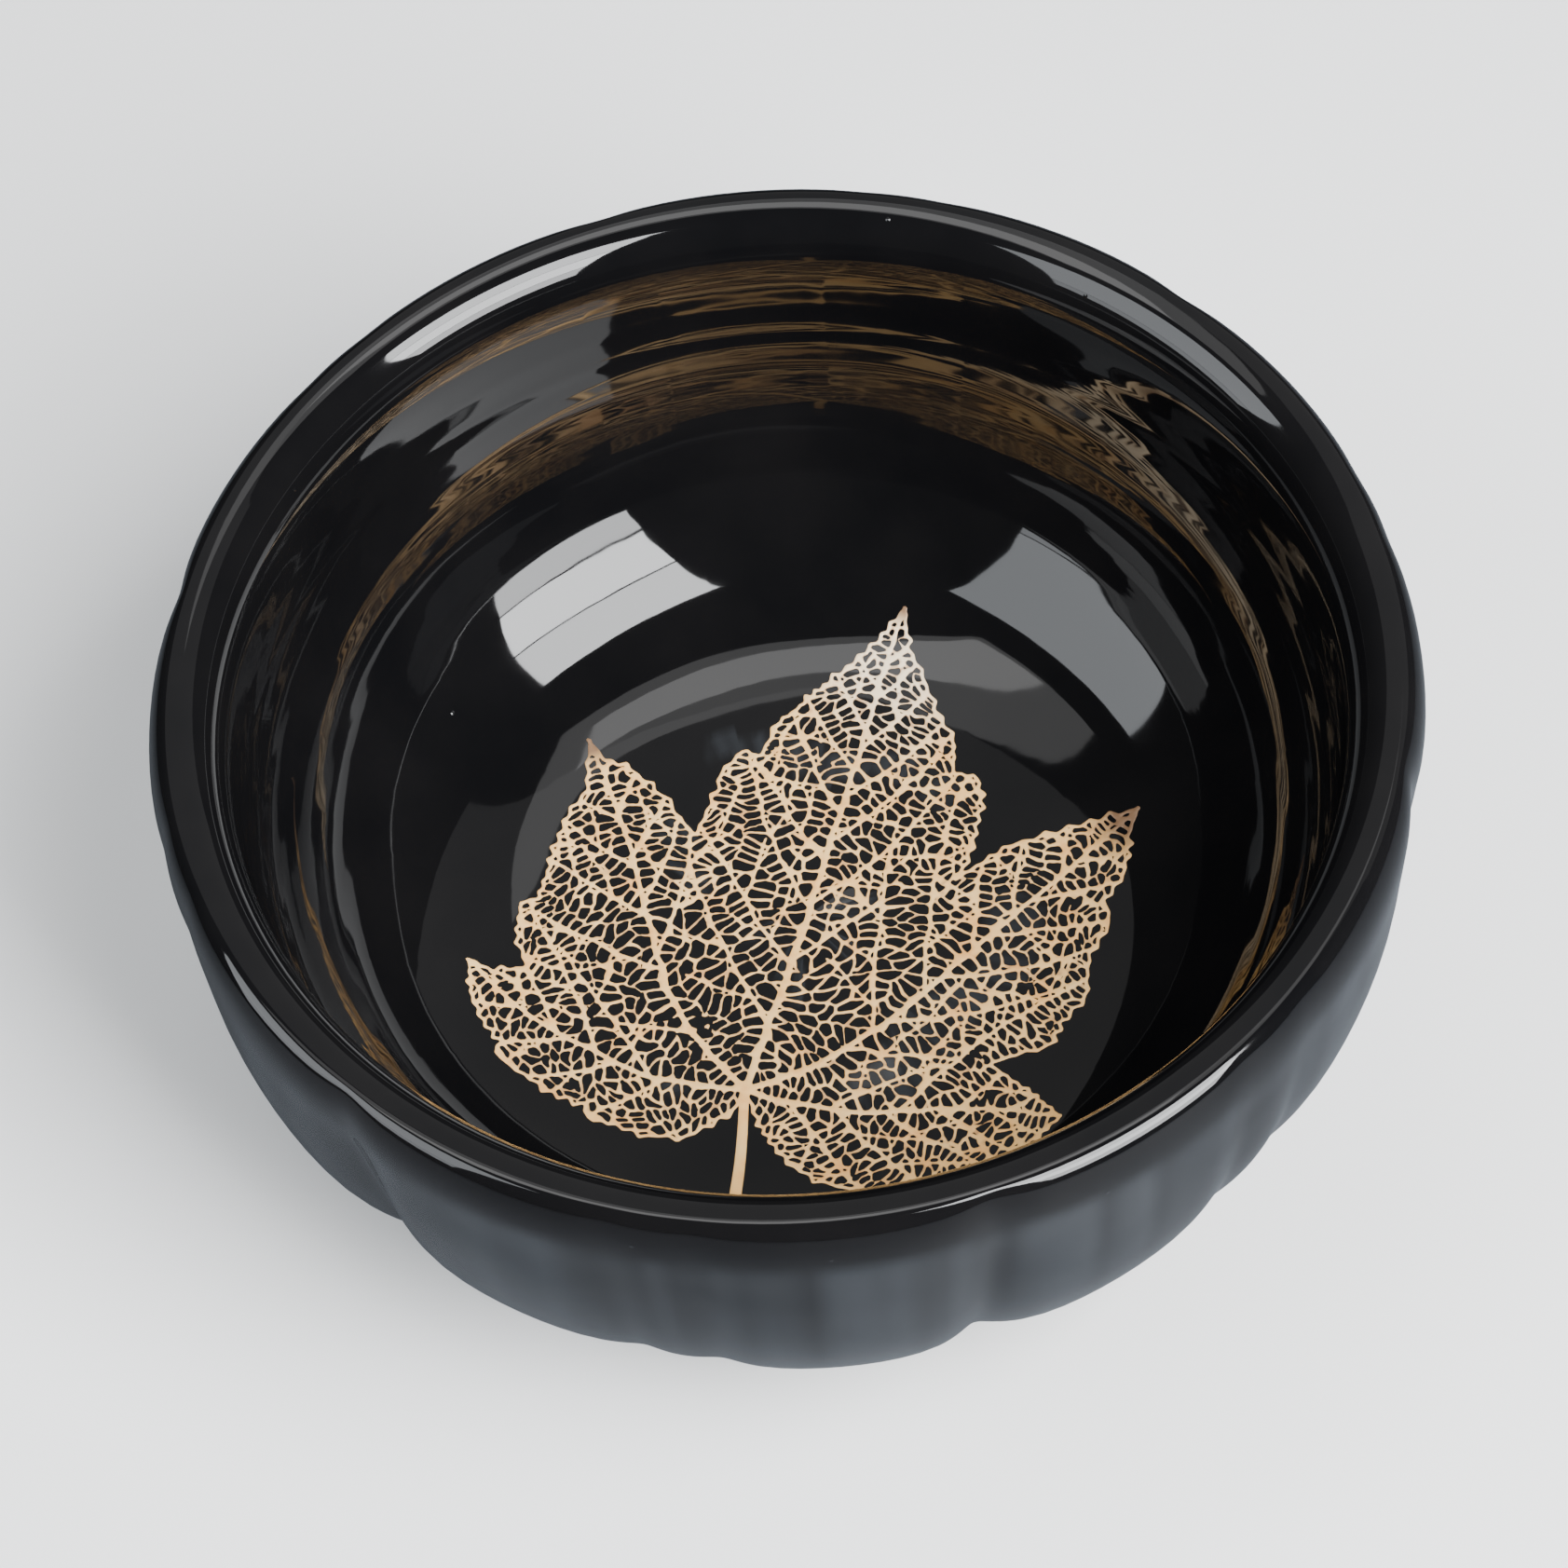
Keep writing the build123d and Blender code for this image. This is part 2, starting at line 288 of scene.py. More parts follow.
def floor_slope(r):
    return np.interp(r, INNER_R, np.gradient(INNER_Z, INNER_R + 1e-6 * np.arange(len(INNER_R))))


def ring_relief(z):
    relief = np.zeros_like(z)
    for height, proud in THROWING_RINGS:
        relief += proud * np.exp(-(((z - height) / RING_WIDTH) ** 2))
    return relief


def spaced(curve, steps):
    """Arc lengths along a curve, from (arc length, step) pairs that say how close the rows are."""
    stops = [0.0]
    while stops[-1] < curve.s[-1]:
        step = np.interp(stops[-1], [a for a, _ in steps], [b for _, b in steps])
        stops.append(stops[-1] + step)
    s = np.array(stops)
    return s * curve.s[-1] / s[-1]


def ring_of_points(radius, height, azimuth):
    """One row of points round the bowl's axis."""
    return np.column_stack([radius * np.cos(azimuth), radius * np.sin(azimuth), height + 0.0 * azimuth])


def inside_point(s):
    """Radius and height of the inside at an arc length, and the direction of the profile there."""
    r, z = inner.at(max(s, 0.0))
    r_next, z_next = inner.at(min(s + 0.05, inner.s[-1]))
    run = math.hypot(r_next - r, z_next - z) or 1.0
    return r, z, (r_next - r) / run, (z_next - z) / run


def outside_rows(azimuth_deg, rng):
    """Rows of points of the glaze's outside face, from the foot up the wall to the crown."""
    a = np.radians(azimuth_deg)
    cut = groove(azimuth_deg)
    crest = SmoothCurve(outer_profile(), (0.9, 0.3), (-1.0, 0.0))
    depth_curve = SmoothCurve(VALLEY_DEPTH, (0.1, 0.0), (0.0, 0.0))
    fine_z, fine_d = np.array(depth_curve.at(np.linspace(0, depth_curve.s[-1], 800)))
    full = crest.s[-1]
    steps = [(0, 0.25), (2.5, 0.5), (8, 1.1), (full - 12, 1.1), (full - 6, 0.4), (full, 0.3)]
    arc_lengths = spaced(crest, steps)
    waves = unevenness(a[None, :], arc_lengths[:, None], rng, OUTSIDE_WAVE)
    fade = np.interp(arc_lengths, [0, 8, 20, full - 12, full - 5, full], [0, 0.2, 1, 1, 0.3, 0])
    rows = []
    for s, wave, share in zip(arc_lengths, waves, fade):
        r, z = crest.at(s)
        depth = np.interp(z, fine_z, fine_d) if z > VALLEY_DEPTH[0][0] else 0.0
        if z > SHOULDER_Z:
            depth *= max(0.0, r - CROWN_RADIUS) / (RIM_RADIUS - CROWN_RADIUS)
        rows.append(ring_of_points(r - SKIN_CLEARANCE - depth * cut - np.abs(wave) * share, z, a))
    return rows


def inside_rows(azimuth_deg, rng):
    """Rows of points from the crown down the inside wall, with its throwing rings, to the floor's middle."""
    a = np.radians(azimuth_deg)
    total = inner.s[-1]
    steps = [(0, 0.3), (8, 0.35), (14, 0.55), (total - 46, 0.6), (total - 36, 1.5), (total, 1.5)]
    arc_lengths = total - spaced(inner, steps)
    waves = unevenness(a[None, :], arc_lengths[:, None], rng, INSIDE_WAVE)
    fade = np.interp(arc_lengths, [0, 6, total - 9, total - 3], [0, 1, 1, 0])
    rows = []
    for s, wave, share in zip(arc_lengths, waves, fade):
        r, z, along_r, along_z = inside_point(s)
        lift = (ring_relief(np.array([z]))[0] if z > RINGS_START_Z else 0.0) + wave * share
        rows.append(ring_of_points(r - lift * along_z, z + lift * along_r, a))
    return rows


def back_rows(azimuth_deg):
    """Rows of the glaze's hidden face, against the clay, from the floor's middle back to the foot."""
    a = np.radians(azimuth_deg)
    cut = groove(azimuth_deg)
    depth_z, depth = np.array(VALLEY_DEPTH).T
    rows = []
    for s in np.linspace(1.5, inner.s[-1] - 3.0, 18):
        r, z, along_r, along_z = inside_point(s)
        rows.append(ring_of_points(r + SKIN_THICKNESS * along_z, z - SKIN_THICKNESS * along_r, a))
    for crest, z in ((CROWN_RADIUS, HEIGHT), (64.0, 57.7), (65.02, 56.2), (RIM_RADIUS, SHOULDER_Z)):
        share = (crest - CROWN_RADIUS) / (RIM_RADIUS - CROWN_RADIUS)
        radius = crest - SKIN_THICKNESS * share - np.interp(z, depth_z, depth) * share * cut
        rows.append(ring_of_points(radius, z - SKIN_THICKNESS * (1 - share), a))
    for z in (48.0, 43.0, 36.0, 28.0, 20.0, 14.0, 9.0, 6.0, 4.6):
        radius = wall_radius(z) - SKIN_THICKNESS - np.interp(z, depth_z, depth) * cut
        rows.append(ring_of_points(radius, z, a))
    for r, z in ((FOOT_RADIUS + 2.0, 3.7), (FOOT_RADIUS - SKIN_THICKNESS, 3.2)):
        rows.append(ring_of_points(r, z, a))
    return rows


def add_object(name, vertices, faces, smooth=True):
    mesh = bpy.data.meshes.new(name)
    mesh.from_pydata((np.asarray(vertices) * MM).tolist(), [], faces)
    mesh.validate()
    mesh.shade_smooth() if smooth else mesh.shade_flat()
    piece = bpy.data.objects.new(name, mesh)
    bpy.context.scene.collection.objects.link(piece)
    return piece


def painted_wall_reflection(points, rng):
    """Painted reflection on the glaze: the outer wall lighter in upright streaks, least in the valleys, which
    stay darker as painted shade.
    """
    radius, height = np.hypot(points[:, 0], points[:, 1]), points[:, 2]
    azimuth = np.arctan2(points[:, 1], points[:, 0])
    outside = radius > np.interp(height, INNER_Z, INNER_R) + 2.0
    streaks = np.zeros_like(radius)
    for turns in (7, 13, 23, 41, 67):
        sway = 0.5 * np.sin(height / rng.uniform(9.0, 16.0) + rng.uniform(0, RANDOM_TURN))
        streaks += np.sin(turns * azimuth + rng.uniform(0, RANDOM_TURN) + sway) / 5.0
    share = 0.60 + 1.05 * streaks - 0.45 * groove(np.degrees(azimuth))
    below_lip = np.clip((SHOULDER_Z + 0.5 - height) / 2.5, 0, 1)
    return outside * np.clip(share, 0.15, 1.0) * below_lip


def glaze_skin():
    """Closed skin: the outside face, down to the floor's middle, and back along the clay."""
    rng = np.random.default_rng(SEED)
    columns = azimuths()
    count = len(columns)
    front = outside_rows(columns, rng) + inside_rows(columns, rng)
    centre_top = np.array([0.0, 0.0, front[-1][:, 2].mean()])
    front = front[:-1]
    back = back_rows(columns)
    centre_back = np.array([0.0, 0.0, centre_top[2] - SKIN_THICKNESS])
    vertices = np.vstack(front + [centre_top[None]] + [centre_back[None]] + back)
    top = len(front) * count
    faces = []
    step = np.arange(count)
    following = (step + 1) % count

    def band(low, high):
        return np.column_stack([low + step, low + following, high + following, high + step]).tolist()

    for k in range(len(front) - 1):
        faces += band(k * count, (k + 1) * count)
    faces += [[top - count + i, top - count + j, top] for i, j in zip(step, following)]
    start = top + 2
    faces += [[top + 1, start + j, start + i] for i, j in zip(step, following)]
    for k in range(len(back) - 1):
        faces += band(start + k * count, start + (k + 1) * count)
    faces += band(start + (len(back) - 1) * count, 0)
    piece = add_object("glaze_skin", vertices, faces)
    # Per-point share of the painted reflection on the outer wall, with painted shade in the valleys
    wall = piece.data.attributes.new("wall", "FLOAT", "POINT")
    wall.data.foreach_set("value", painted_wall_reflection(vertices, rng).astype(np.float32))
    return piece


# --- The leaf's vein network ------------------------------------------------------------------------

def leaf_margin(rng):
    """The leaf's edge as a fine closed line, with small sharp teeth between the drawn points."""
    points = np.array(LEAF_EDGE, float)
    ahead = np.roll(points, -1, axis=0)
    turn_in = np.roll(points, 1, axis=0) - points
    turn_out = ahead - points
    sharp = (turn_in * turn_out).sum(axis=1) > -0.35 * np.hypot(*turn_in.T) * np.hypot(*turn_out.T)
    line = []
    for a, b, calm_start, calm_end in zip(points, ahead, sharp, np.roll(sharp, -1)):
        run = b - a
        length = math.hypot(*run)
        outward = np.array([-run[1], run[0]]) / length
        teeth = max(1, round(length / rng.uniform(*TOOTH_SPACING)))
        count = max(6, int(length / CELL))
        t = np.arange(count) / count
        shares = rng.uniform(*TOOTH_SHARES, teeth)
        heights = TOOTH_HEIGHT * shares[np.minimum((t * teeth).astype(int), teeth - 1)]
        along = (t * teeth) % 1.0
        saw = np.where(along < TOOTH_PEAK, along / TOOTH_PEAK, (1 - along) / (1 - TOOTH_PEAK)) ** 1.3
        calm = np.minimum(1.0, (t if calm_start else 1.0) * length / TOOTHLESS_RUN)
        calm = np.minimum(calm, ((1 - t) if calm_end else 1.0) * length / TOOTHLESS_RUN)
        line.append(a + run * t[:, None] + outward * (heights * saw * calm - EDGE_HALF_WIDTH)[:, None])
    return np.vstack(line)


def grid_index(x):
    return ((np.asarray(x) + HALF_PLAN) / CELL).astype(int)


def draw_stroke(field, path, half_widths):
    """Lower the field to the signed distance from a tapering stroke."""
    reach = 0.9
    for (x0, y0), (x1, y1), w0, w1 in zip(path, path[1:], half_widths, half_widths[1:]):
        pad = max(w0, w1) + reach
        i0, i1 = max(0, grid_index(min(x0, x1) - pad)), min(GRID, grid_index(max(x0, x1) + pad) + 2)
        j0, j1 = max(0, grid_index(min(y0, y1) - pad)), min(GRID, grid_index(max(y0, y1) + pad) + 2)
        x = (-HALF_PLAN + CELL * np.arange(i0, i1))[None, :]
        y = (-HALF_PLAN + CELL * np.arange(j0, j1))[:, None]
        dx, dy = x1 - x0, y1 - y0
        t = np.clip(((x - x0) * dx + (y - y0) * dy) / max(dx * dx + dy * dy, 1e-9), 0, 1)
        distance = np.hypot(x - x0 - t * dx, y - y0 - t * dy) - (w0 + (w1 - w0) * t)
        np.minimum(field[j0:j1, i0:i1], distance, out=field[j0:j1, i0:i1])


def inside_line(line):
    """Which grid points lie inside a closed line."""
    grid = -HALF_PLAN + CELL * np.arange(GRID)
    mask = np.zeros((GRID, GRID), bool)
    following = np.roll(line, -1, axis=0)
    for j, y in enumerate(grid):
        crosses = (line[:, 1] <= y) != (following[:, 1] <= y)
        p, q = line[crosses], following[crosses]
        xs = np.sort(p[:, 0] + (y - p[:, 1]) / (q[:, 1] - p[:, 1]) * (q[:, 0] - p[:, 0])) if len(p) else []
        for low, high in zip(xs[::2], xs[1::2]):
            mask[j, np.searchsorted(grid, low) : np.searchsorted(grid, high)] = True
    return mask


def grow_vein(start, heading, bend, limit, inside, taken):
    """Walk a vein from its start until it meets the leaf's edge or another vein."""
    step, free_run, joins_at = 0.4, 1.6, 0.5
    path = [np.array(start, float)]
    for k in range(int(limit / step)):
        heading += bend * step
        point = path[-1] + step * np.array([math.cos(heading), math.sin(heading)])
        path.append(point)
        if not inside[grid_index(point[1]), grid_index(point[0])]:
            break
        if k * step > free_run:
            gaps = np.hypot(taken[:, 0] - point[0], taken[:, 1] - point[1])
            if gaps.min() < joins_at:
                path.append(taken[gaps.argmin()])
                break
    return np.array(path)


def heading_at(path, k):
    run = path[min(k + 2, len(path) - 1)] - path[max(k - 2, 0)]
    return math.atan2(run[1], run[0])


def leaf_veins(inside, rng):
    """Main veins, the side veins that leave them and the short branches of those, with half widths."""
    left_turn, right_turn = 43.0, 37.0
    veins, jobs = [], []
    for course, base_width, left, right in MAIN_VEINS.values():
        path = sample_curve([LEAF_BASE] + course, 0.5)
        share = np.linspace(0, 1, len(path))
        veins.append((path, base_width * (1 - share) ** 0.8 + TIP_HALF_WIDTH))
        jobs += [(s, path, 1, left_turn) for s in left] + [(s, path, -1, right_turn) for s in right]
    taken = np.vstack([path for path, _ in veins])
    jobs.sort(key=lambda job: -job[0])
    sides = []
    for share, main, side, turn in jobs:
        k = int(share * (len(main) - 1))
        heading = heading_at(main, k) + side * math.radians(turn + rng.uniform(-4, 4) + 6 * (1 - share))
        bend = -side * math.radians(rng.uniform(0.2, 1.3))
        path = grow_vein(main[k], heading, bend, 30, inside, taken)
        if len(path) > 5:
            sides.append((path, np.linspace(*SIDE_HALF_WIDTHS, len(path))))
            taken = np.vstack([taken, path])
    branches = []
    for path, _ in sides:
        count = int(0.4 * len(path) / 6.0)
        for q in range(count):
            k = int((q + 0.75 + rng.uniform(-0.15, 0.15)) / (count + 0.4) * len(path))
            if 3 <= k <= len(path) - 4:
                side = 1 if (q + len(branches)) % 2 else -1
                heading = heading_at(path, k) + side * math.radians(rng.uniform(40, 58))
                bend = -side * math.radians(rng.uniform(0, 2.5))
                branch = grow_vein(path[k], heading, bend, 8, inside, taken)
                if len(branch) > 7:
                    branches.append((branch, np.full(len(branch), BRANCH_HALF_WIDTH)))
                    taken = np.vstack([taken, branch])
    return veins + sides + branches


def web_seeds(veins, margin, field, inside, rng):
    """Middles of the finest cells. Each cell is long across its nearest vein, like a ladder's gaps."""
    mids = np.vstack([(path[1:] + path[:-1]) / 2 for path, _ in veins])
    runs = np.vstack([np.diff(path, axis=0) for path, _ in veins])
    seeds, axes, sizes = np.zeros((0, 2)), np.zeros((0, 2)), np.zeros(0)
    places = np.argwhere(inside & (field > 0.25))
    edge = margin[::3]
    for j, i in places[rng.permutation(len(places))[:WEB_TRIES]]:
        point = np.array([-HALF_PLAN + CELL * i, -HALF_PLAN + CELL * j])
        run = runs[np.hypot(*(mids - point).T).argmin()]
        from_edge = np.hypot(*(edge - point).T).min()
        size = np.interp(from_edge, [0, 7, 16], [0.74, 1.0, 1.16]) * rng.uniform(0.88, 1.14)
        angle = math.atan2(run[0], -run[1]) + rng.normal(0, 0.25)
        axis = np.array([math.cos(angle), math.sin(angle)])
        gap = seeds - point
        close = np.abs(gap).max(axis=1) < 1.4 * WEB_CELL[1]
        gap, others, spread = gap[close], axes[close], (sizes[close] + size) / 2
        crowded = False
        for way in (np.broadcast_to(axis, others.shape), others):
            along = (gap * way).sum(axis=1) / WEB_CELL[1]
            across = (gap[:, 1] * way[:, 0] - gap[:, 0] * way[:, 1]) / WEB_CELL[0]
            crowded = crowded or (len(gap) > 0 and (np.hypot(along, across) / spread).min() < 1)
        if not crowded:
            seeds, axes, sizes = np.vstack([seeds, point]), np.vstack([axes, axis]), np.append(sizes, size)
    return seeds, axes


def smooth_noise(rng, wave):
    """Smooth random field over the plan grid, with features about a wave long."""
    coarse = int(2 * HALF_PLAN / wave) + 4
    knots = rng.normal(0, 1, (coarse, coarse))
    u = np.linspace(0, coarse - 3.001, GRID)
    k = u.astype(int)
    t = u - k
    t = t * t * (3 - 2 * t)
    rows = knots[k] * (1 - t)[:, None] + knots[k + 1] * t[:, None]
    return rows[:, k] * (1 - t) + rows[:, k + 1] * t


def web_field(seeds, axes, rng):
    """Signed distance from the lines between neighbouring cells."""
    shift_x, shift_y = (0.17 * smooth_noise(rng, 1.5) for _ in range(2))
    nearest, second = np.full((GRID, GRID), 9.0), np.full((GRID, GRID), 9.0)
    slope_1, slope_2 = np.zeros((GRID, GRID, 2)), np.zeros((GRID, GRID, 2))
    reach = int(4.6 / CELL)
    for point, axis in zip(seeds, axes):
        ci, cj = grid_index(point[0]), grid_index(point[1])
        rows, cols = slice(max(0, cj - reach), cj + reach + 1), slice(max(0, ci - reach), ci + reach + 1)
        x = (-HALF_PLAN + CELL * np.arange(GRID)[cols])[None, :] - point[0] + shift_x[rows, cols]
        y = (-HALF_PLAN + CELL * np.arange(GRID)[rows])[:, None] - point[1] + shift_y[rows, cols]
        along = (x * axis[0] + y * axis[1]) / WEB_CELL[1]
        across = (y * axis[0] - x * axis[1]) / WEB_CELL[0]
        far = np.hypot(along, across) + 1e-9
        slope_x = along * axis[0] / WEB_CELL[1] - across * axis[1] / WEB_CELL[0]
        slope_y = along * axis[1] / WEB_CELL[1] + across * axis[0] / WEB_CELL[0]
        slope = np.stack([slope_x, slope_y], -1) / far[..., None]
        n1, n2, s1, s2 = nearest[rows, cols], second[rows, cols], slope_1[rows, cols], slope_2[rows, cols]
        first = far < n1
        runner_up = ~first & (far < n2)
        n2[first], s2[first] = n1[first], s1[first]
        n1[first], s1[first] = far[first], slope[first]
        n2[runner_up], s2[runner_up] = far[runner_up], slope[runner_up]
    steepness = np.hypot(*np.moveaxis(slope_2 - slope_1, -1, 0))
    thickness = WEB_HALF_WIDTH * (1.0 + 0.18 * smooth_noise(rng, 2.2))
    return (second - nearest) / np.maximum(steepness, 0.25) - thickness


def blurred(field, sigma):
    reach = int(3 * sigma / CELL) + 1
    kernel = np.exp(-0.5 * (np.arange(-reach, reach + 1) * CELL / sigma) ** 2)
    kernel /= kernel.sum()
    for axis in (0, 1):
        padded = np.moveaxis(np.pad(field, reach, mode="edge"), axis, 0)
        total = sum(w * padded[k : k + GRID] for k, w in enumerate(kernel))
        field = np.moveaxis(total, 0, axis)
        field = field[:, reach:-reach] if axis == 0 else field[reach:-reach, :]
    return field


def leaf_field():
    """Plan of the print: below zero on the gold, above zero on the glaze."""
    rng = np.random.default_rng(SEED)
    margin = leaf_margin(rng)
    inside = inside_line(margin)
    veins = leaf_veins(inside, rng)
    field = np.full((GRID, GRID), 1.5)
    bend_x, bend_y = (0.14 * smooth_noise(rng, 2.6) for _ in range(2))
    for path, half_widths in veins:
        i, j = grid_index(path[:, 0]), grid_index(path[:, 1])
        wandering = path + np.column_stack([bend_x[j, i], bend_y[j, i]])
        draw_stroke(field, wandering, half_widths)
    seeds, axes = web_seeds(veins, margin, field, inside, rng)
    field = np.minimum(field, web_field(seeds, axes, rng))
    field = np.where(inside, field, 1.5)
    edge = np.vstack([margin, margin[:1]])[::2]
    draw_stroke(field, edge, np.full(len(edge), EDGE_HALF_WIDTH))
    field = blurred(np.clip(field, -0.5, 0.5), 0.10)
    stalk = sample_curve([LEAF_BASE, (-8.9, -29.0), STALK_END], 0.5)
    draw_stroke(field, stalk, np.linspace(*STALK_HALF_WIDTHS, len(stalk)))
    return field


def contour_loops(field, level, stride):
    """Closed lines where the field crosses a level, as lists of plan points."""
    f = field[::stride, ::stride] - level
    f = np.where(f == 0, 1e-9, f)
    size = f.shape[0]
    step = CELL * stride
    sign = f < 0
    flat = np.full((size, size), -1)
    upright = np.full((size, size), -1)
    rows, cols = np.nonzero(sign[:, :-1] != sign[:, 1:])
    t = f[rows, cols] / (f[rows, cols] - f[rows, cols + 1])
    points = [np.column_stack([cols + t, rows])]
    flat[rows, cols] = np.arange(len(rows))
    count = len(rows)
    rows, cols = np.nonzero(sign[:-1] != sign[1:])
    t = f[rows, cols] / (f[rows, cols] - f[rows + 1, cols])
    points.append(np.column_stack([cols, rows + t]))
    upright[rows, cols] = count + np.arange(len(rows))
    points = np.vstack(points) * step - HALF_PLAN
    sides = np.stack([flat[:-1, :-1], upright[:-1, 1:], flat[1:, :-1], upright[:-1, :-1]], -1)
    crossed = sides >= 0
    total = crossed.sum(-1)
    links = {}

    def link(a, b):
        links.setdefault(a, []).append(b)
        links.setdefault(b, []).append(a)

    for j, i in np.argwhere(total == 2):
        a, b = sides[j, i][crossed[j, i]]
        link(int(a), int(b))
    for j, i in np.argwhere(total == 4):
        low, right, high, left = (int(v) for v in sides[j, i])
        middle = f[j : j + 2, i : i + 2].sum() < 0
        if middle == sign[j, i]:
            link(low, right), link(high, left)
        else:
            link(low, left), link(high, right)
    loops, seen = [], set()
    for start in links:
        if start in seen:
            continue
        loop, here, before = [], start, None
        while here not in seen:
            seen.add(here)
            loop.append(here)
            onward = [v for v in links[here] if v != before and v not in seen]
            before = here
            if onward:
                here = onward[0]
        loops.append(points[loop])
    return [loop for loop in loops if len(loop) > 5]


def thinned(loop, tolerance):
    """A closed line with the points it can lose within a tolerance taken out."""
    n = len(loop)
    far = int(np.hypot(*(loop - loop[0]).T).argmax())
    keep = np.zeros(n + 1, bool)
    keep[[0, far, n]] = True
    ring = np.vstack([loop, loop[:1]])
    spans = [(0, far), (far, n)]
    while spans:
        a, b = spans.pop()
        if b - a < 2:
            continue
        chord = ring[b] - ring[a]
        offset = ring[a + 1 : b] - ring[a]
        length = math.hypot(*chord)
        if length < 1e-9:
            gap = np.hypot(*offset.T)
        else:
            gap = np.abs(offset[:, 0] * chord[1] - offset[:, 1] * chord[0]) / length
        worst = int(gap.argmax())
        if gap[worst] > tolerance:
            keep[a + 1 + worst] = True
            spans += [(a, a + 1 + worst), (a + 1 + worst, b)]
    return ring[:-1][keep[:-1]]


def field_at(field, x, y):
    u, v = (np.asarray(x) + HALF_PLAN) / CELL, (np.asarray(y) + HALF_PLAN) / CELL
    i, j = u.astype(int), v.astype(int)
    s, t = u - i, v - j
    low = field[j, i] * (1 - s) + field[j, i + 1] * s
    high = field[j + 1, i] * (1 - s) + field[j + 1, i + 1] * s
    return low * (1 - t) + high * t


def print_loops(field, level):
    loops = [thinned(loop, LINE_TOLERANCE) for loop in contour_loops(field, level, 2)]
    return [loop for loop in loops if len(loop) > 3]


def leaf_print():
    """The gold print as a thin closed solid: a flat top on sloping shoulders, rooted in the glaze."""
    field = leaf_field()
    outline, plateau = print_loops(field, 0.0), print_loops(field, -SHOULDER_WIDTH)
    points, edges = [], []
    for loop in outline + plateau:
        first = sum(len(done) for done in points)
        points.append(loop)
        edges += [(first + k, first + (k + 1) % len(loop)) for k in range(len(loop))]
    rim_count = sum(len(loop) for loop in outline)
    plan = np.vstack(points)
    made, _, triangles, sources, _, _ = delaunay_2d_cdt([Vector(p) for p in plan], edges, [], 0, 1e-6)
    made = np.array([tuple(p) for p in made])
    on_rim = np.array([any(k < rim_count for k in source) for source in sources])
    triangles = np.array(triangles)
    middle = made[triangles].mean(axis=1)
    gold = field_at(field, middle[:, 0], middle[:, 1]) < 0
    triangles = triangles[gold]
    radius = np.hypot(made[:, 0], made[:, 1])
    slope = floor_slope(radius)
    lean = 1.0 / np.hypot(1.0, slope)
    out = made / np.maximum(radius, 1e-6)[:, None]
    normal = np.column_stack([-out[:, 0] * slope * lean, -out[:, 1] * slope * lean, lean])
    ground = np.column_stack([made, floor_height(radius)])
    top = ground + normal * np.where(on_rim, SHOULDER_SHARE * PRINT_HEIGHT, PRINT_HEIGHT)[:, None]
    bottom = ground - normal * PRINT_ROOT
    count = len(made)
    p, q, r = made[triangles].transpose(1, 0, 2)
    turn = np.cross(q - p, r - p)
    triangles[turn < 0] = triangles[turn < 0][:, ::-1]
    sides = {}
    for a, b, c in triangles.tolist():
        for edge in ((a, b), (b, c), (c, a)):
            sides[edge] = True
    walls = [(b, a, a + count, b + count) for a, b in sides if (b, a) not in sides]
    faces = triangles.tolist() + (triangles[:, ::-1] + count).tolist() + walls
    vertices = np.vstack([top, bottom])
    used = np.zeros(2 * count, bool)
    for face in faces:
        used[list(face)] = True
    renumber = np.cumsum(used) - 1
    faces = [[int(renumber[v]) for v in face] for face in faces]
    piece = add_object("gold_leaf", vertices[used], faces)
    edge = piece.data.attributes.new("edge", "FLOAT", "POINT")
    edge.data.foreach_set("value", np.concatenate([on_rim, np.ones(count, bool)])[used].astype(np.float32))
    wall_edges = {tuple(sorted((int(renumber[a]), int(renumber[b])))) for a, b, _, _ in walls}
    sharp = [tuple(sorted(e.vertices)) in wall_edges for e in piece.data.edges]
    flags = piece.data.attributes.new("sharp_edge", "BOOLEAN", "EDGE")
    flags.data.foreach_set("value", sharp)
    return piece


# --- Materials --------------------------------------------------------------------------------------

# Linear colours. Where there is more than one, the material's noise runs between them
DEEP_GLAZE = ((0.0028, 0.0028, 0.0032), (0.0045, 0.0043, 0.0046))
# Glaze colours for the outer wall, lightened there as a painted reflection
PAINTED_REFLECTION_GLAZE = ((0.013, 0.0148, 0.0175), (0.021, 0.0232, 0.0265))
CLAY = ((0.055, 0.042, 0.034), (0.105, 0.082, 0.066))
GROG = (0.17, 0.14, 0.115)
GOLD = ((0.92, 0.44, 0.13), (1.0, 0.58, 0.20), (1.0, 0.66, 0.28))
# Painted highlight colour for the gold near the longest tip
PAINTED_HIGHLIGHT_GOLD = (1.0, 0.80, 0.54)
# Browner gold along the print's outline, in patches
BROWN_OUTLINE_GOLD = (0.50, 0.25, 0.10)
# Painted shade colour for the gold's tips where they climb the wall
PAINTED_SHADE_TIP = (0.20, 0.11, 0.055)
PAPER = ((0.79, 0.79, 0.79), (0.81, 0.81, 0.808))
SLATE = (0.082, 0.090, 0.102)
# Where a highlight is painted on the gold, and which tips get painted shade: place, where the tint is full,
# where it ends
PAINTED_HIGHLIGHT_AREA = ((12.5, 31.0, 12.0), 3.0, 13.0)
PAINTED_SHADE_TIPS = (
    ((37.2, 8.2, 12.5), 2.2, 6.5),
    ((-22.2, 24.8, 11.5), 1.2, 4.0),
    ((14.6, 38.0, 13.2), 0.6, 2.6),
)


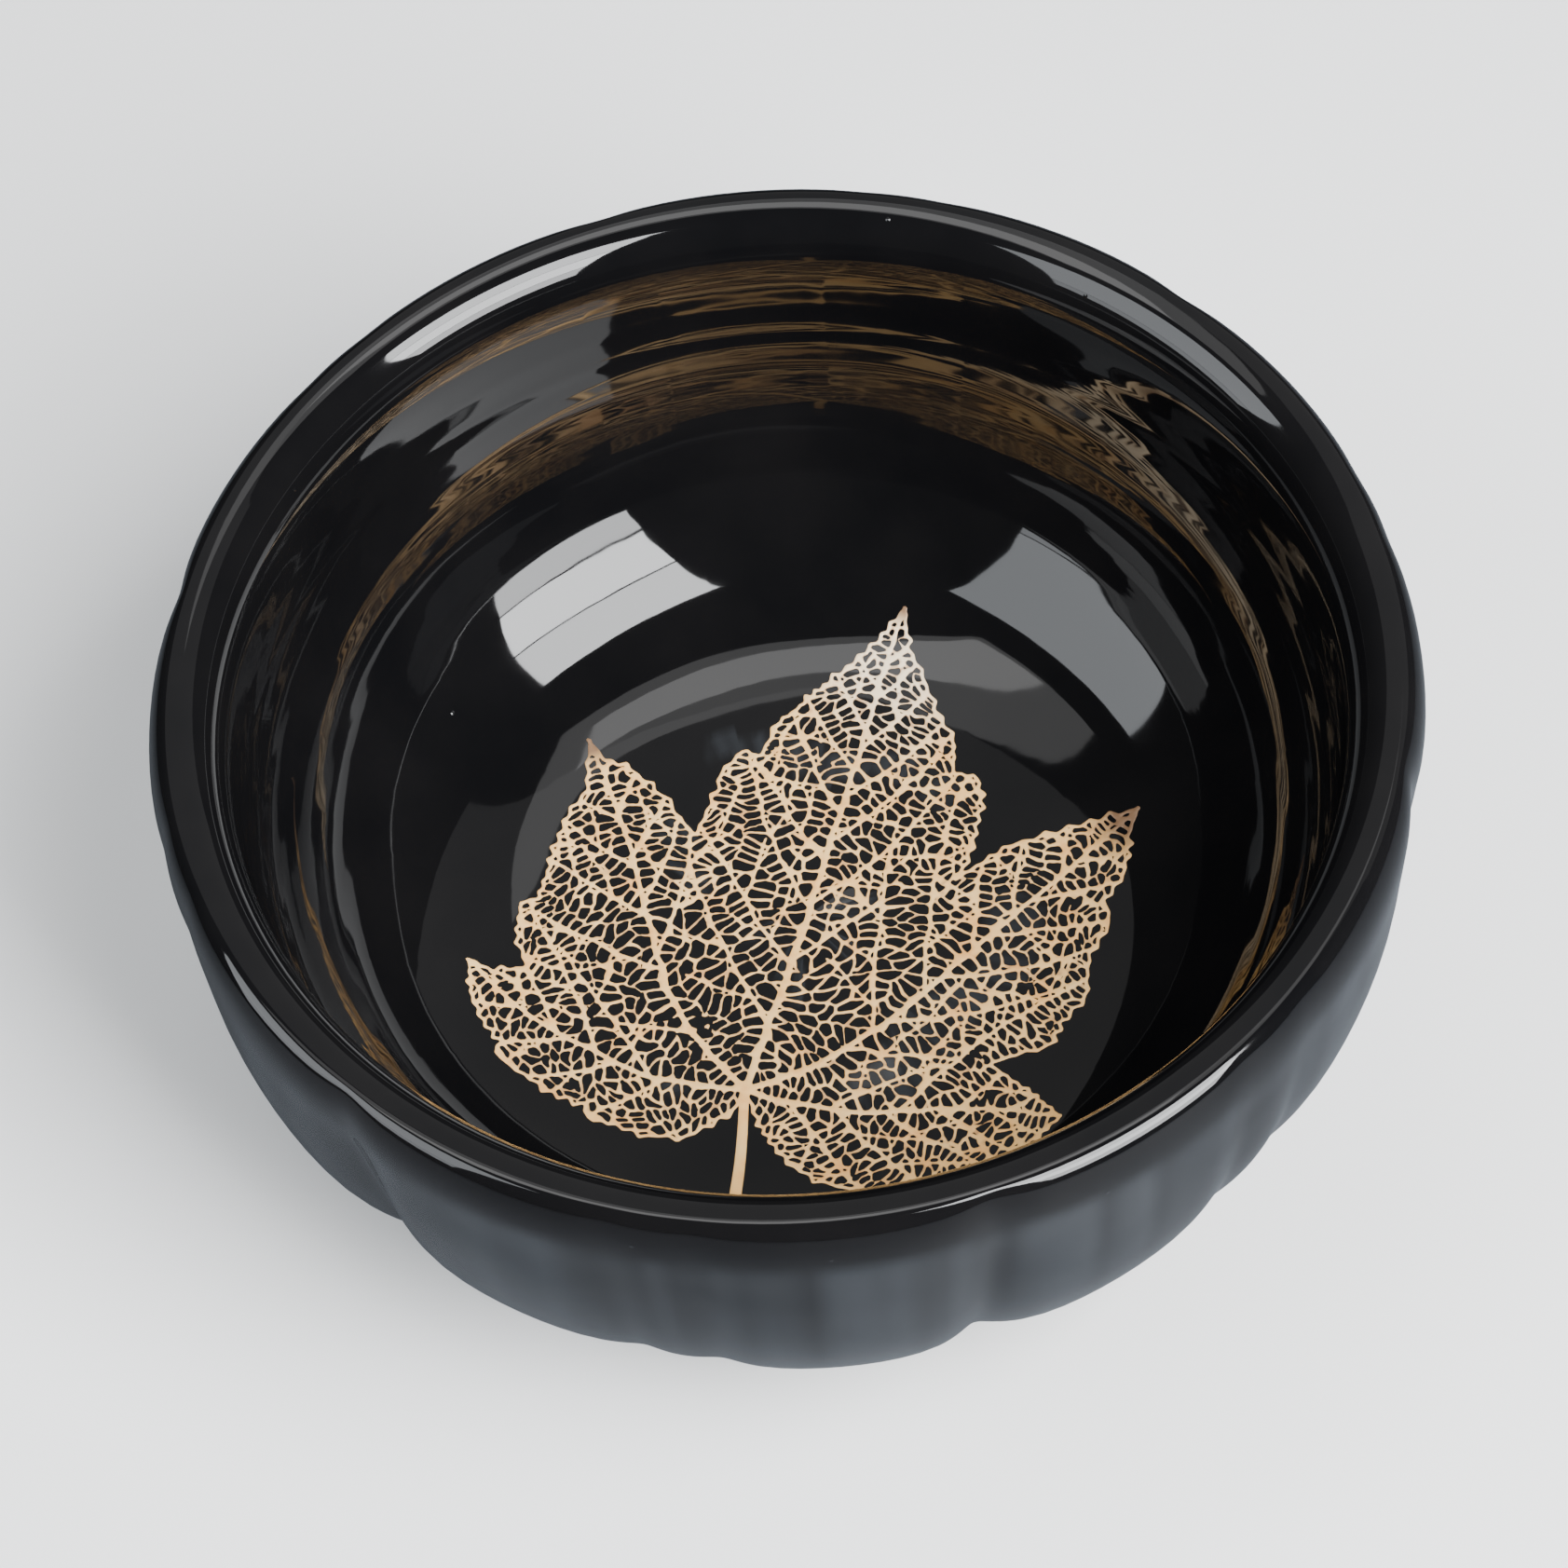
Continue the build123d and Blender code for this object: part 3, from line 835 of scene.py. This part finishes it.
class Nodes:
    """Short way to build a material's node tree round one Principled shader."""

    def __init__(self, name):
        self.material = bpy.data.materials.new(name)
        self.material.use_nodes = True
        self.tree = self.material.node_tree
        self.shader = self.tree.nodes["Principled BSDF"]
        self.coords = self.tree.nodes.new("ShaderNodeTexCoord").outputs["Object"]

    def set(self, **values):
        for key, value in values.items():
            self.shader.inputs[key.replace("_", " ")].default_value = value

    def link(self, source, target):
        self.tree.links.new(source, target)

    def noise(self, scale, detail=4.0, roughness=0.5):
        node = self.tree.nodes.new("ShaderNodeTexNoise")
        node.inputs["Scale"].default_value = scale
        node.inputs["Detail"].default_value = detail
        node.inputs["Roughness"].default_value = roughness
        self.link(self.coords, node.inputs["Vector"])
        return node.outputs["Fac"]

    def voronoi(self, scale):
        node = self.tree.nodes.new("ShaderNodeTexVoronoi")
        node.inputs["Scale"].default_value = scale
        self.link(self.coords, node.inputs["Vector"])
        return node.outputs["Distance"]

    def attribute(self, name):
        node = self.tree.nodes.new("ShaderNodeAttribute")
        node.attribute_name = name
        return node.outputs["Fac"]

    def ramp(self, source, stops):
        stops = list(stops)
        node = self.tree.nodes.new("ShaderNodeValToRGB")
        elements = node.color_ramp.elements
        while len(elements) < len(stops):
            elements.new(0.5)
        for element, (position, color) in zip(elements, stops):
            element.position = position
            element.color = (*color, 1.0)
        self.link(source, node.inputs["Fac"])
        return node.outputs["Color"]

    def spread(self, source, low, high, to_low, to_high):
        node = self.tree.nodes.new("ShaderNodeMapRange")
        for key, value in (("From Min", low), ("From Max", high), ("To Min", to_low), ("To Max", to_high)):
            node.inputs[key].default_value = value
        self.link(source, node.inputs["Value"])
        return node.outputs["Result"]

    def math(self, operation, a, b):
        node = self.tree.nodes.new("ShaderNodeMath")
        node.operation = operation
        for socket, value in zip(node.inputs, (a, b)):
            if isinstance(value, (int, float)):
                socket.default_value = value
            else:
                self.link(value, socket)
        return node.outputs["Value"]

    def mix(self, factor, a, b):
        node = self.tree.nodes.new("ShaderNodeMix")
        node.data_type = "RGBA"
        self.link(factor, node.inputs["Factor"])
        color_a, color_b = node.inputs[6], node.inputs[7]
        for socket, value in ((color_a, a), (color_b, b)):
            if isinstance(value, tuple):
                socket.default_value = (*value, 1.0)
            else:
                self.link(value, socket)
        return node.outputs[2]

    def near(self, place, inner, outer):
        """One close to a place on the part, falling to zero further away, in millimetres."""
        node = self.tree.nodes.new("ShaderNodeVectorMath")
        node.operation = "DISTANCE"
        node.inputs[1].default_value = [v * MM for v in place]
        self.link(self.coords, node.inputs[0])
        return self.spread(node.outputs["Value"], inner * MM, outer * MM, 1.0, 0.0)

    def bump(self, height, distance, strength=1.0):
        node = self.tree.nodes.new("ShaderNodeBump")
        node.inputs["Distance"].default_value = distance
        node.inputs["Strength"].default_value = strength
        self.link(height, node.inputs["Height"])
        self.link(node.outputs["Normal"], self.shader.inputs["Normal"])


def black_glaze():
    n = Nodes("black_glaze")
    n.set(IOR=1.43)
    deep = n.ramp(n.noise(60.0), zip((0.35, 0.7), DEEP_GLAZE))
    # Painted reflection: the outer wall's glaze turns lighter by the per-point share
    reflection_tone = n.ramp(n.noise(75.0, 3.0), zip((0.35, 0.7), PAINTED_REFLECTION_GLAZE))
    n.link(n.mix(n.attribute("wall"), deep, reflection_tone), n.shader.inputs["Base Color"])
    n.link(n.spread(n.noise(140.0, 3.0), 0.35, 0.75, 0.025, 0.055), n.shader.inputs["Roughness"])
    ripple = n.noise(110.0, 2.0)
    speck = n.spread(n.voronoi(85.0), 0.0, 0.022, 1.0, 0.0)
    n.bump(n.math("ADD", n.math("MULTIPLY", ripple, 0.05), n.math("MULTIPLY", speck, 0.25)), 0.0004)
    return n.material


def fired_clay():
    n = Nodes("fired_clay")
    n.set(IOR=1.45)
    body = n.ramp(n.noise(180.0, 6.0), zip((0.3, 0.7), CLAY))
    grog = n.spread(n.voronoi(1400.0), 0.12, 0.28, 1.0, 0.0)
    n.link(n.mix(grog, body, GROG), n.shader.inputs["Base Color"])
    n.link(n.spread(n.noise(500.0), 0.3, 0.7, 0.78, 0.95), n.shader.inputs["Roughness"])
    n.bump(n.math("ADD", n.noise(2600.0, 3.0), grog), 0.00006)
    return n.material


def gold_print():
    """Warm lustre: part metal, part pigment, with painted shade at three tips and a painted highlight near
    the longest one.
    """
    n = Nodes("gold_print")
    n.set(Metallic=0.18, IOR=1.5)
    patches = n.ramp(n.noise(260.0, 5.0, 0.6), zip((0.30, 0.46, 0.75), GOLD))
    # Painted highlight: the gold turns pale near the longest tip
    with_highlight = n.mix(n.near(*PAINTED_HIGHLIGHT_AREA), patches, PAINTED_HIGHLIGHT_GOLD)
    # The print is browner along its outline, in noisy patches
    outline_patches = n.spread(n.noise(900.0, 3.0), 0.35, 0.65, 0.15, 0.75)
    color = n.mix(n.math("MULTIPLY", n.attribute("edge"), outline_patches), with_highlight, BROWN_OUTLINE_GOLD)
    # Painted shade: the gold darkens at three tips where they climb the wall
    for tip in PAINTED_SHADE_TIPS:
        color = n.mix(n.near(*tip), color, PAINTED_SHADE_TIP)
    n.link(color, n.shader.inputs["Base Color"])
    n.link(n.spread(n.noise(1500.0, 3.0), 0.3, 0.7, 0.30, 0.42), n.shader.inputs["Roughness"])
    n.bump(n.noise(3500.0, 2.0), 0.00001)
    return n.material


def pale_floor():
    """Pale paper to the eye. In reflections it is a slate table, which keeps the glazed wall dark."""
    n = Nodes("pale_floor")
    n.set(Roughness=0.6)
    paper = n.ramp(n.noise(9.0, 3.0), zip((0.3, 0.7), PAPER))
    path = n.tree.nodes.new("ShaderNodeLightPath")
    n.link(n.mix(path.outputs["Is Glossy Ray"], paper, SLATE), n.shader.inputs["Base Color"])
    return n.material


# --- Studio -----------------------------------------------------------------------------------------

# Distances in metres from the bowl, angles in degrees
CAMERA_DISTANCE = 0.52
CAMERA_AIM_Z = 0.056
CAMERA_ELEVATION = 55.83
CAMERA_PITCH = -1.11
CAMERA_YAW = 0.09
CAMERA_ROLL = 5.07
LENS_MM = 116.67
LIGHT_DISTANCE = 0.9
LIGHT_AIM_Z = 0.02
WHITE = (1.0, 1.0, 1.0)
# A light's panes: from and to, as shares of its height, and how bright each is
WHOLE = ((0.0, 1.0, 1.0),)
KEY_PANES = ((0.0, 0.27, 0.6), (0.28, 0.62, 1.0), (0.63, 1.0, 0.8))
FILL_PANES = ((0.0, 0.20, 0.85), (0.21, 1.0, 1.0))
FLOOR_HALF_SIDE = 3.0
FLOOR_DROP = 0.00002  # below the foot, so that the two faces don't coincide


def add_camera():
    data = bpy.data.cameras.new("camera")
    data.sensor_width = 36.0
    data.lens = LENS_MM
    data.clip_start = 0.01
    camera = bpy.data.objects.new("camera", data)
    bpy.context.scene.collection.objects.link(camera)
    elevation = math.radians(CAMERA_ELEVATION)
    place = Vector((0.0, -math.cos(elevation), math.sin(elevation))) * CAMERA_DISTANCE
    place.z += CAMERA_AIM_Z
    pitch = Matrix.Rotation(math.radians(90.0 - CAMERA_ELEVATION + CAMERA_PITCH), 4, "X")
    yaw = Matrix.Rotation(math.radians(CAMERA_YAW), 4, "Y")
    roll = Matrix.Rotation(-math.radians(CAMERA_ROLL), 4, "Z")
    camera.matrix_world = Matrix.Translation(place) @ (pitch @ yaw @ roll)
    bpy.context.scene.camera = camera


def softbox(name, azimuth, elevation, roll, width, height, radiance, color=WHITE, panes=WHOLE):
    """Rectangular light that faces the bowl, as bright as its radiance. Gaps between its panes are bars."""
    a, e = math.radians(azimuth), math.radians(elevation)
    way = Vector((math.cos(a) * math.cos(e), math.sin(a) * math.cos(e), math.sin(e)))
    facing = way.to_track_quat("Z", "Y").to_matrix().to_4x4()
    stand = Matrix.Translation(way * LIGHT_DISTANCE + Vector((0, 0, LIGHT_AIM_Z)))
    stand = stand @ facing @ Matrix.Rotation(math.radians(roll), 4, "Z")
    for k, (low, high, share) in enumerate(panes):
        data = bpy.data.lights.new(f"{name}_{k}", "AREA")
        data.shape = "RECTANGLE"
        data.size, data.size_y = width, height * (high - low)
        data.energy = radiance * share * math.pi * data.size * data.size_y
        data.color = color
        lamp = bpy.data.objects.new(f"{name}_{k}", data)
        bpy.context.scene.collection.objects.link(lamp)
        lamp.matrix_world = stand @ Matrix.Translation((0, height * ((low + high) / 2 - 0.5), 0))


def add_studio():
    softbox("key_front_right", -43.0, 42.0, -8.0, 0.50, 0.90, 33.0, (0.97, 0.985, 1.0), KEY_PANES)
    softbox("fill_left", -166.0, 34.0, 14.0, 0.62, 0.78, 6.0, (0.92, 0.96, 1.0), FILL_PANES)
    softbox("top_back", 118.0, 75.0, 0.0, 0.56, 0.15, 2.8)
    softbox("top_wide", 112.0, 73.0, 0.0, 0.66, 0.30, 1.5)
    softbox("back_wall", 76.0, 42.0, 0.0, 0.95, 0.74, 0.42)
    world = bpy.data.worlds.new("studio")
    world.use_nodes = True
    background = world.node_tree.nodes["Background"]
    background.inputs["Color"].default_value = (1.0, 1.0, 1.0, 1.0)
    background.inputs["Strength"].default_value = 0.05
    bpy.context.scene.world = world
    side, drop = FLOOR_HALF_SIDE / MM, FLOOR_DROP / MM
    corners = [(x * side, y * side, -drop) for x, y in ((-1, -1), (1, -1), (1, 1), (-1, 1))]
    floor = add_object("floor", corners, [(0, 1, 2, 3)], smooth=False)
    floor.data.materials.append(pale_floor())


def main():
    glaze = black_glaze()
    for node, material in (("clay_body", fired_clay()), ("underside_glaze", glaze)):
        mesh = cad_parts[node].data
        mesh.materials.clear()
        mesh.materials.append(material)
    skin = glaze_skin()
    skin.data.materials.append(glaze)
    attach(skin, "root")
    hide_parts("glaze_coat")
    leaf = leaf_print()
    leaf.data.materials.append(gold_print())
    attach(leaf, "root")
    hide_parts("leaf_decal")
    add_camera()
    add_studio()


main()
